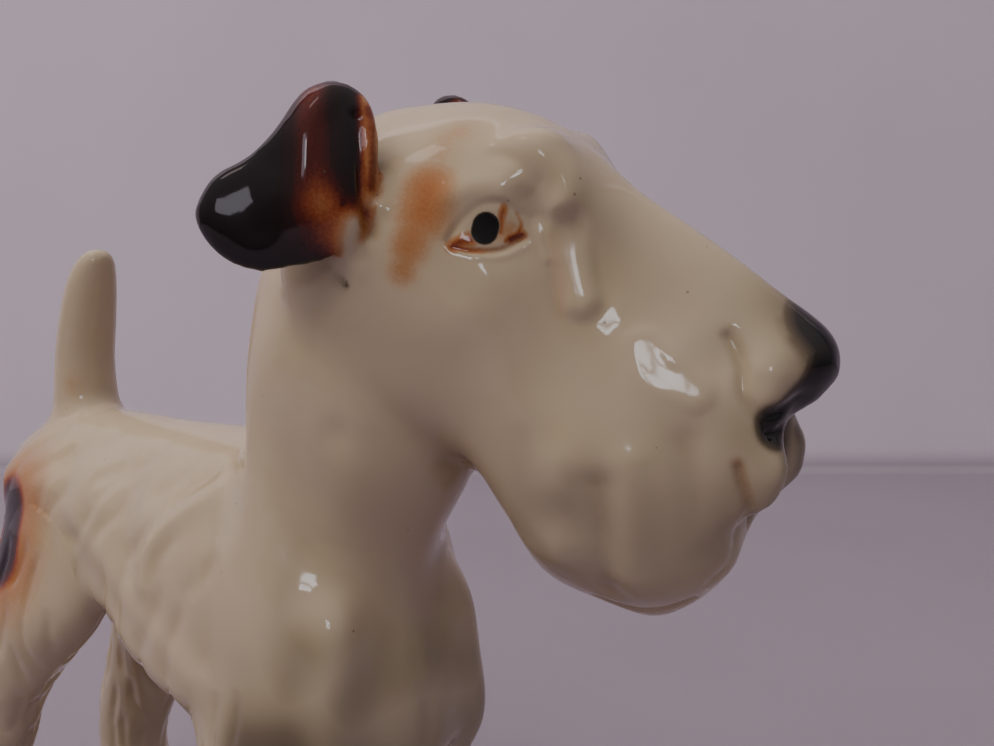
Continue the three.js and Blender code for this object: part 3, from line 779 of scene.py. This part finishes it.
brown[np.isin(of_casting, [NAMES.index("right_ear"), NAMES.index("left_ear")])] = 1.0
brown = spread_out(brown, 6)
painted_on(brown, [
    # path, reach, amount, and the width of the soft edge where the stroke has a full middle
    # ears: the front edge wiped and lined again, the redder band, the fold, and two inner lines
    ([(-7.6, 9, 16.4), (-7.1, 9.8, 13.6), (-6.9, 10.3, 11), (-6.8, 10.9, 8)], 1.1, -1),
    ([(-7.6, 9.4, 15.6), (-7.3, 10, 13), (-7, 10.3, 11), (-6.9, 10.9, 9)], 0.95, 0.6),
    ([(-7, 11.2, 8.4), (-7.2, 11.8, 6.8)], 0.6, 0.4),
    ([(-12, 11.2, 17.2), (-11.4, 12.6, 14), (-11, 13.4, 10.6), (-10.4, 13.8, 8.4)], 1.9, -0.35),
    ([(-10.4, 13.8, 7.2), (-10.1, 13.8, 5.2)], 2.3, -0.4),
    ([(-7.9, 12.4, 5.8), (-8.2, 12.5, 4.6), (-8.8, 11.9, 3.2)], 1.45, -1),
    ([(-9, 10.4, 16.6), (-8.5, 11.2, 14.8), (-8.4, 12, 12.2), (-8.4, 12.6, 9.8)], 0.62, 0.88),
    ([(-8.5, 12.8, 9), (-8.6, 13, 7.6)], 0.5, 0.8),
    ([(-8.1, 10.6, 14.6), (-7.5, 11.6, 11.2), (-7.3, 11.8, 8), (-7.3, 11.6, 5.6)], 0.4, 0.85),
    # tan stroke between ear and eye, and a breath of tan on the skull and beside the crest
    ([(-2.2, 9.4, 8.6), (-2.3, 10.1, 6.6)], 2.5, 0.39),
    ([(-2.9, 10.6, 5.4), (-3.4, 11.1, 3.8)], 1.9, 0.31),
    ([(-3.6, 11.3, 2.8), (-4, 11.4, 1.8)], 1.6, 0.23),
    ([(-0.6, 6, 13.6), (-1.5, 6.8, 12.8), (-1.8, 7.8, 11.4)], 2.2, 0.12),
    ([(8.4, 7.4, 4.4), (9.1, 7.5, 0.6), (9.3, 7.6, -1.8)], 1.2, 0.09),
    # eyes: a tinted ball, the lined lids, and the inner corner
    ([(3, 9.1, 4.7), (4.8, 8.3, 5)], 1, 0.2),
    ([(0.3, 10.2, 3.8), (1, 9.9, 4.1), (1.8, 9.6, 4.3)], 0.6, 0.55),
    ([(0.3, 10.2, 3.7), (2.1, 9.7, 3.35), (4.2, 8.9, 3.4), (5.9, 7.9, 4.3)], 0.23, 0.72),
    ([(4.5, 8.5, 6.9), (4.2, 8.6, 5.8), (4.1, 8.7, 4.9)], 0.36, 0.6),
    ([(5.5, 8, 6.4), (5.8, 7.9, 5.5), (5.5, 8, 4.7), (4.6, 8.5, 4.1)], 0.22, 0.62),
    ([(4.9, 8.3, 4.2), (5.8, 7.9, 4.5)], 0.42, 0.68),
    # crease of the mouth
    ([(24, 7.3, -14.4), (24.6, 7.2, -16.6), (24.9, 6.8, -18.2)], 0.7, 0.2),
])
painted_on(brown, [
    # right side of the body alone: the patch at the hip with its orange rim, and two faint stains
    ([(-57.6, -12.4, 50.4), (-57, -12.8, 46.4)], 9.4, 0.4),
    ([(-59.2, -12, 50.6), (-58.4, -12.8, 46)], 2.2, 1, 6),
    ([(-57.4, -4, 67.6), (-56.4, -4.4, 66.6)], 1.9, 0.14),
    ([(-5.5, -8, 83), (-5, -8.4, 77)], 2.6, 0.1),
], in_head=False, sides=(1,))
painted_on(black, [
    # nose: a thin halo, the black of the tip, the halo at its sides, and the wing with its nostril
    ([(28.6, 0, -3.6), (30, 0, -5.6), (31, 0, -8), (30, 0, -10.6)], 7, 0.46),
    ([(29.8, 0, -4.6), (30.6, 0, -6.2), (31.2, 0, -8.2), (30.2, 0, -10.6)], 1.6, 1, 4.8),
    ([(27.2, 2.7, -3.2), (28, 3.4, -4.6)], 2.5, 0.42),
    ([(28.2, 3.4, -4.6), (28.9, 3.4, -6)], 2.1, 0.5),
    ([(27.4, 4.2, -4.8), (27.9, 4.4, -6.4)], 1.9, 0.3),
    ([(30, 2.4, -6.8), (29.4, 3.4, -9), (28, 4.6, -10.9), (26.9, 5.3, -11.6)], 0.6, 1, 2.6),
    ([(25.3, 6.5, -10.2), (26.4, 5.9, -11.8)], 0.7, 0.3),
    # pupils, and black painted as shade into the groove at the foot of the ear
    ([(2.85, 9.05, 4.95), (2.95, 8.95, 5.4)], 1, 1, 0.3),
    ([(-10.9, 11.9, 1.9), (-9.6, 11.6, 0.5)], 0.3, 0.95),
    # groove of the lips, then thin grey beside the mouth and on the lip, and painted shade on the beard
    ([(26.8, 0, -12.6), (25.2, 0, -15.4), (24.2, 0, -17.8)], 3.4, 0.8),
    ([(24.6, 5.6, -12.4), (24, 5.8, -17.6), (21.6, 5.8, -22)], 4.2, 0.25),
    ([(27.2, 4.2, -14), (26.6, 4.8, -16.4), (25.8, 4.6, -18.6)], 2, 0.44),
    ([(11, 9.6, -20), (19, 7.6, -20), (24, 5.6, -15)], 8, 0.17),
])
# Painted shade on the far lobe of the lip, on the left side alone, where that lobe lies in shade behind
# the near one.
FAR_LIP_SHADE = [(28, 4.2, -14.8), (27.4, 4.4, -18.4), (25.8, 3.8, -21.4)]
painted_on(black, [(FAR_LIP_SHADE, 1.7, 0.4)], sides=(1,))
painted_on(black, [
    # painted shade: thin grey on the breast and the tops of the forelegs
    ([(3.6, 12.6, 35), (9.3, 8.2, 36), (11, 0, 36)], 7, 0.26),
    ([(0.5, 12.8, 37), (5, 12.4, 38)], 7, 0.49),
    ([(4.6, 12.4, 41.6), (5.8, 11.2, 47.2)], 4.2, 0.34),
    ([(9, 8.4, 42), (9.6, 1.5, 45)], 4.6, 0.28),
], in_head=False)

# Glaze pools where the clay is hollow: how far a point lies below the mean of its wider
# surroundings, against the depth of a full pool. At both ends of the crest the pool is wiped off again
# as painted light, which keeps those spots pale against the shade that falls there.
POOL_DEPTH, POOL_WIDTH = 0.22, 30
below = ((spread_out(points, POOL_WIDTH) - points) * normals).sum(-1)
pooled = spread_out(np.clip(below / POOL_DEPTH, 0, 1), 3)
# painted light: the pool taken away at both ends of the crest
painted_on(pooled, [
    ([(9, 6.5, 7), (9.4, 6.5, 6.1)], 1.3, -0.8),
    ([(10.8, 7.7, -1.2), (11.1, 7.7, -2.2)], 1.3, -0.8),
])

# Glazed porcelain: a clear, slightly green feldspar glaze over an ivory body, fired glossy and cut
# through here and there by iron specks and pinholes. Thin brown underglaze fires to orange, thick
# brown nearly to black. The soles are wiped and stay bare.
MATH, MIX, NOISE, RAMP = "ShaderNodeMath", "ShaderNodeMix", "ShaderNodeTexNoise", "ShaderNodeValToRGB"
TIMES, TIMES_PLUS = {"operation": "MULTIPLY"}, {"operation": "MULTIPLY_ADD"}
TIMES_HELD = {"operation": "MULTIPLY", "use_clamp": True}
COLOURS, COLOURS_TIMES = {"data_type": "RGBA"}, {"data_type": "RGBA", "blend_type": "MULTIPLY"}
# Patterns by their count to the metre: sprayed droplets of 0.3 mm, clouds of 10 mm in the ivory,
# specks in cells of 2.4 mm, of which a fifth shows one, and waves of 1.6 mm in the glaze.
DROPLETS, CLOUDS, SPECK_CELLS, WAVES = 3400.0, 95.0, 420.0, 620.0
SPECK_RADIUS, SPECKS_LEFT_OUT, SPECK_SHARE = 0.055, 0.8, 0.55
POOL_SHARE = 0.35
BARE_BELOW, GLAZED_ABOVE = 0.00015, 0.0005
GLAZED_ROUGHNESS, BARE_ROUGHNESS = 0.07, 0.75
GLAZE_IOR = 1.52

glaze = bpy.data.materials.new("ivory_porcelain_glaze")
glaze.use_nodes = True
tree = glaze.node_tree
tree.nodes.clear()
spot = node(tree, "ShaderNodeTexCoord").outputs["Object"]
brown_coat, black_paint_and_shade, pool = (
    node(tree, "ShaderNodeAttribute", {"attribute_name": title}).outputs["Fac"]
    for title in ("brown_coat", "black_paint_and_shade", "pooled_glaze")
)

# Body and underglaze: ivory, then brown and black by how thick they lie, the black with its painted
# shade.
# The edge of the brown is broken up by the droplets of the spray, most where it is half thick.
grain = node(tree, NOISE, {}, {"Vector": spot, "Scale": DROPLETS, "Detail": 2.0}).outputs["Fac"]
cloud = node(tree, NOISE, {}, {"Vector": spot, "Scale": CLOUDS, "Detail": 2.0}).outputs["Fac"]
grain_off = node(tree, MATH, TIMES_PLUS, {0: grain, 1: 0.5, 2: -0.25}).outputs[0]
brown_rest = node(tree, MATH, TIMES_PLUS, {0: brown_coat, 1: -1.0, 2: 1.0}).outputs[0]
brown_edge = node(tree, MATH, TIMES, {0: brown_rest, 1: brown_coat}).outputs[0]
brown_grain = node(tree, MATH, TIMES, {0: brown_edge, 1: grain_off}).outputs[0]
brown_seen = node(tree, MATH, TIMES_PLUS, {0: brown_grain, 1: 1.6, 2: brown_coat}).outputs[0]
brown_fired = node(tree, RAMP, {}, {0: brown_seen}, [
    (0.0, "#B9A68B"), (0.1, "#B59B7C"), (0.22, "#AA7E57"), (0.38, "#A4683A"), (0.52, "#86401F"),
    (0.68, "#50190F"), (0.84, "#25100E"), (1.0, "#140B0C"),
]).outputs[0]
black_fired = node(tree, RAMP, {}, {0: black_paint_and_shade}, [
    (0.0, "#B0A48C"), (0.25, "#8F8268"), (0.5, "#5A4C3C"), (0.75, "#2A231E"), (1.0, "#14110F"),
]).outputs[0]
black_over = node(tree, MATH, TIMES_HELD, {0: black_paint_and_shade, 1: 2.2}).outputs[0]
ivories = [(0.3, "#BBA98A"), (0.5, "#B9A68B"), (0.7, "#BCAA90")]
ivory = node(tree, RAMP, {}, {0: cloud}, ivories).outputs[0]
brown_there = node(tree, MATH, TIMES_HELD, {0: brown_seen, 1: 8.0}).outputs[0]
painted = node(tree, MIX, COLOURS, {0: brown_there, 6: ivory, 7: brown_fired}).outputs[2]
painted = node(tree, MIX, COLOURS, {0: black_over, 6: painted, 7: black_fired}).outputs[2]

# Glaze: greener where it pools, with a dark speck near the middle of a few cells.
pool_share = node(tree, MATH, TIMES, {0: pool, 1: POOL_SHARE}).outputs[0]
pooled_green = {0: pool_share, 6: painted, 7: linear("#BDB08C")}
painted = node(tree, MIX, COLOURS_TIMES, pooled_green).outputs[2]
cell = node(tree, "ShaderNodeTexVoronoi", {}, {"Vector": spot, "Scale": SPECK_CELLS})
from_middle = {0: cell.outputs["Distance"], 1: SPECK_RADIUS}
near_middle = node(tree, MATH, {"operation": "LESS_THAN"}, from_middle).outputs[0]
picked = node(tree, "ShaderNodeSeparateColor", {}, {0: cell.outputs["Color"]}).outputs[0]
few = node(tree, MATH, {"operation": "GREATER_THAN"}, {0: picked, 1: SPECKS_LEFT_OUT}).outputs[0]
specks = node(tree, MATH, TIMES, {0: near_middle, 1: few}).outputs[0]
speck_share = node(tree, MATH, TIMES, {0: specks, 1: SPECK_SHARE}).outputs[0]
painted = node(tree, MIX, COLOURS, {0: speck_share, 6: painted, 7: linear("#5E4A38")}).outputs[2]

# Soles: bare grey biscuit, matt, up to half a millimetre over the table.
height = node(tree, "ShaderNodeSeparateXYZ", {}, {0: spot}).outputs["Z"]
bare = node(tree, "ShaderNodeMapRange", {}, {
    "Value": height, "From Min": BARE_BELOW, "From Max": GLAZED_ABOVE, "To Min": 1.0, "To Max": 0.0,
}).outputs[0]
painted = node(tree, MIX, COLOURS, {0: bare, 6: painted, 7: linear("#A89A86")}).outputs[2]
rough = node(tree, "ShaderNodeMapRange", {}, {
    "Value": bare, "To Min": GLAZED_ROUGHNESS, "To Max": BARE_ROUGHNESS,
}).outputs[0]
ripple = node(tree, NOISE, {}, {"Vector": spot, "Scale": WAVES, "Detail": 1.0}).outputs["Fac"]
waved = {"Strength": 0.35, "Distance": 0.00002, "Height": ripple}
orange_peel = node(tree, "ShaderNodeBump", {}, waved).outputs[0]
shader = node(tree, "ShaderNodeBsdfPrincipled", {}, {
    "Base Color": painted, "Roughness": rough, "IOR": GLAZE_IOR, "Normal": orange_peel,
})
node(tree, "ShaderNodeOutputMaterial", {}, {0: shader.outputs[0]})

# The fired pieces: the joined skin is parted where one casting meets the next, each part is closed
# inside the joint and keeps the normals of the whole, so that no seam shows in the glaze.
ORIGIN = np.array([17.2, -1.6, 0.0])
CAP_DEPTH = 0.4
SEAM_ROUNDS = 6
own = np.eye(len(NAMES))[of_casting]
for _ in range(SEAM_ROUNDS):
    own = 0.5 * own + 0.5 * spread_out(own)
corners = corners_of(skin)
owner = own[corners].sum(1).argmax(1)
fired = {}
for number, name in enumerate(NAMES):
    ours = corners[owner == number]
    used, inverse = np.unique(ours, return_inverse=True)
    faces = inverse.reshape(-1, 3)
    spots, turned = points[used], normals[used]
    # An edge that only one triangle uses lies on a joint: its ends are joined to the joint's middle.
    sides = np.concatenate([faces[:, [0, 1]], faces[:, [1, 2]], faces[:, [2, 0]]])
    keys = sides[:, 0].astype(np.int64) * len(used) + sides[:, 1]
    back = sides[:, 1].astype(np.int64) * len(used) + sides[:, 0]
    rim = sides[~np.isin(keys, back)]
    label = np.arange(len(used))
    while True:
        low = np.minimum(label[rim[:, 0]], label[rim[:, 1]])
        fresh = label.copy()
        np.minimum.at(fresh, rim[:, 0], low)
        np.minimum.at(fresh, rim[:, 1], low)
        if (fresh == label).all():
            break
        label = fresh
    for joint in np.unique(label[rim[:, 0]]):
        loop = rim[label[rim[:, 0]] == joint]
        facing = turned[loop.ravel()].mean(0)
        middle = spots[loop.ravel()].mean(0) - CAP_DEPTH * facing
        spots = np.concatenate([spots, [middle]])
        turned = np.concatenate([turned, [facing]])
        fan = np.stack([loop[:, 1], loop[:, 0], np.full(len(loop), len(spots) - 1)], -1)
        faces = np.concatenate([faces, fan])
    mesh = bpy.data.meshes.new(name + "_fired")
    mesh.from_pydata(((spots + ORIGIN) / 1000).tolist(), [], faces.tolist())
    for title, values in (("brown_coat", brown), ("black_paint_and_shade", black), ("pooled_glaze", pooled)):
        layer = mesh.attributes.new(title, "FLOAT", "POINT")
        filled = np.concatenate([values[used], np.zeros(len(spots) - len(used))])
        layer.data.foreach_set("value", filled.astype(np.float32))
    mesh.materials.append(glaze)
    mesh.polygons.foreach_set("use_smooth", np.ones(len(mesh.polygons), bool))
    mesh.update()
    mesh.normals_split_custom_set_from_vertices(turned.tolist())
    piece = bpy.data.objects.new(name + "_fired", mesh)
    bpy.context.scene.collection.objects.link(piece)
    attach(piece, "root")
    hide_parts(name)
    fired[name] = piece
bpy.data.meshes.remove(skin)

# Table and backdrop: one lilac-grey sheet that lies on the table and turns up behind the dog in
# a narrow fold, painted dark on the table and pale on the wall as painted shade and painted light.
# It is matt, with faint clouds of fibre, and isn't part of the figurine.
paper = bpy.data.materials.new("lilac_grey_paper")
paper.use_nodes = True
tree = paper.node_tree
spot = node(tree, "ShaderNodeTexCoord").outputs["Object"]
rise = node(tree, "ShaderNodeSeparateXYZ", {}, {0: spot}).outputs["Z"]
up = node(tree, "ShaderNodeMapRange", {"interpolation_type": "SMOOTHSTEP"}, {
    "Value": rise, "From Min": -0.004, "From Max": 0.012,
}).outputs[0]
fibres = node(tree, NOISE, {}, {"Vector": spot, "Scale": 9.0, "Detail": 3.0}).outputs["Fac"]
# painted shade on the table part and painted light on the wall part, blended across the fold
shaded_floor_lit_wall = {0: up, 6: linear("#776D79"), 7: linear("#DED1DF")}
tint = node(tree, MIX, COLOURS, shaded_floor_lit_wall).outputs[2]
shade = node(tree, RAMP, {}, {0: fibres}, [(0.2, "#F4F4F4"), (0.8, "#FFFFFF")]).outputs[0]
tint = node(tree, MIX, COLOURS_TIMES, {0: 1.0, 6: tint, 7: shade}).outputs[2]
surface = tree.nodes["Principled BSDF"]
tree.links.new(tint, surface.inputs["Base Color"])
surface.inputs["Roughness"].default_value = 0.9
CAMERA_AT = np.array([103.2, -69.4, 82.0]) / 1000
AHEAD = np.array([-0.6947, 0.7193, 0.0])
ACROSS = np.array([AHEAD[1], -AHEAD[0], 0.0])
FOLD_AWAY, FOLD_RADIUS = 0.447, 0.004
SHEET_REACH, SHEET_HEIGHT = 2.2, 1.5


def sheet_surface():
    """A profile of table, quarter circle and wall, carried straight across the view."""
    turn = np.linspace(0, np.pi / 2, 25)
    away = np.r_[-SHEET_REACH, FOLD_AWAY - FOLD_RADIUS + FOLD_RADIUS * np.sin(turn), FOLD_AWAY]
    high = np.r_[0, FOLD_RADIUS * (1 - np.cos(turn)), SHEET_HEIGHT]
    across = np.linspace(-SHEET_REACH, SHEET_REACH, 3)
    ahead, over = np.meshgrid(away, across, indexing="ij")
    points = (CAMERA_AT * [1, 1, 0]) + ahead[..., None] * AHEAD + over[..., None] * ACROSS
    points[..., 2] = high[:, None]
    i, j = np.meshgrid(np.arange(len(away) - 1), np.arange(2), indexing="ij")
    corner = (i * 3 + j).ravel()
    faces = np.stack([corner, corner + 1, corner + 4, corner + 3], -1)
    return points.reshape(-1, 3), faces


sheet = clay("paper_sheet", *sheet_surface())
sheet.data.materials.append(paper)

# Light: two window panes behind the viewer with a curtain beside them, a doorway, soft light from
# the left over the dog's right side, and room light that grows towards the pale ceiling.
world = bpy.data.worlds.new("room")
bpy.context.scene.world = world
world.use_nodes = True
tree = world.node_tree
direction = node(tree, "ShaderNodeTexCoord").outputs["Generated"]
way_up = node(tree, "ShaderNodeSeparateXYZ", {}, {0: direction}).outputs["Z"]
strength = node(tree, "ShaderNodeMapRange", {}, {
    "Value": way_up, "From Min": -0.1, "From Max": 0.9, "To Min": 0.1, "To Max": 0.5,
}).outputs[0]
room = tree.nodes["Background"]
room.inputs["Color"].default_value = linear("#E4DFE6")
tree.links.new(strength, room.inputs["Strength"])


def lamp(name, azimuth, elevation, distance, wide, high, power, code, target=(0.033, 0.004, 0.08)):
    """Area lamp that looks at a target, by default the head: from a direction in degrees and a
    distance in metres, with its size in metres and its power in watts."""
    light = bpy.data.lights.new(name, "AREA")
    light.shape = "RECTANGLE"
    light.size = wide
    light.size_y = high
    light.energy = power
    light.color = linear(code)[:3]
    placed_lamp = bpy.data.objects.new(name, light)
    bpy.context.scene.collection.objects.link(placed_lamp)
    a, e = math.radians(azimuth), math.radians(elevation)
    way = np.array([math.cos(a) * math.cos(e), math.sin(a) * math.cos(e), math.sin(e)])
    placed_lamp.location = np.array(target) + way * distance
    placed_lamp.rotation_euler = mathutils.Vector(way).to_track_quat("Z", "Y").to_euler()
    return placed_lamp


lamp("window_left", -58.5, 26, 1.2, 0.08, 0.19, 0.4, "#F4F6FF")
lamp("window_right", -53, 26, 1.2, 0.08, 0.19, 0.4, "#F4F6FF")
# The curtain lights the near ear alone, because on the cheek it made a pale disc.
curtain = lamp("curtain", -70, 26.5, 1.2, 0.34, 0.28, 0.68, "#EDE6F6")
curtain_lights = bpy.data.collections.new("lit_by_curtain")
curtain_lights.objects.link(fired["right_ear"])
curtain.light_linking.receiver_collection = curtain_lights
lamp("doorway", -118, 58, 1.2, 0.17, 0.2, 0.22, "#FFE9E4")
soft_left = lamp("soft_left", -112, 55, 1.3, 1.2, 1.0, 15.0, "#FFF8F2")
wall_washer = lamp("wall_washer", -46, 70, 0.9, 2.0, 0.3, 5.5, "#FFF8F2", (-0.4, 0.46, 0.25))
for unseen in (soft_left, wall_washer):
    unseen.visible_glossy = False

# Camera: where the photograph was taken from, 5 degrees down, worked out from the outlines.
camera = bpy.data.objects.new("camera", bpy.data.cameras.new("camera"))
camera.data.lens = 38.61
camera.data.sensor_width = 36
camera.data.clip_start = 0.005
camera.location = CAMERA_AT
pitch = math.radians(5)
look = AHEAD * math.cos(pitch) - np.array([0, 0, math.sin(pitch)])
camera.rotation_euler = mathutils.Vector(look).to_track_quat("-Z", "Y").to_euler()
bpy.context.scene.collection.objects.link(camera)
bpy.context.scene.camera = camera
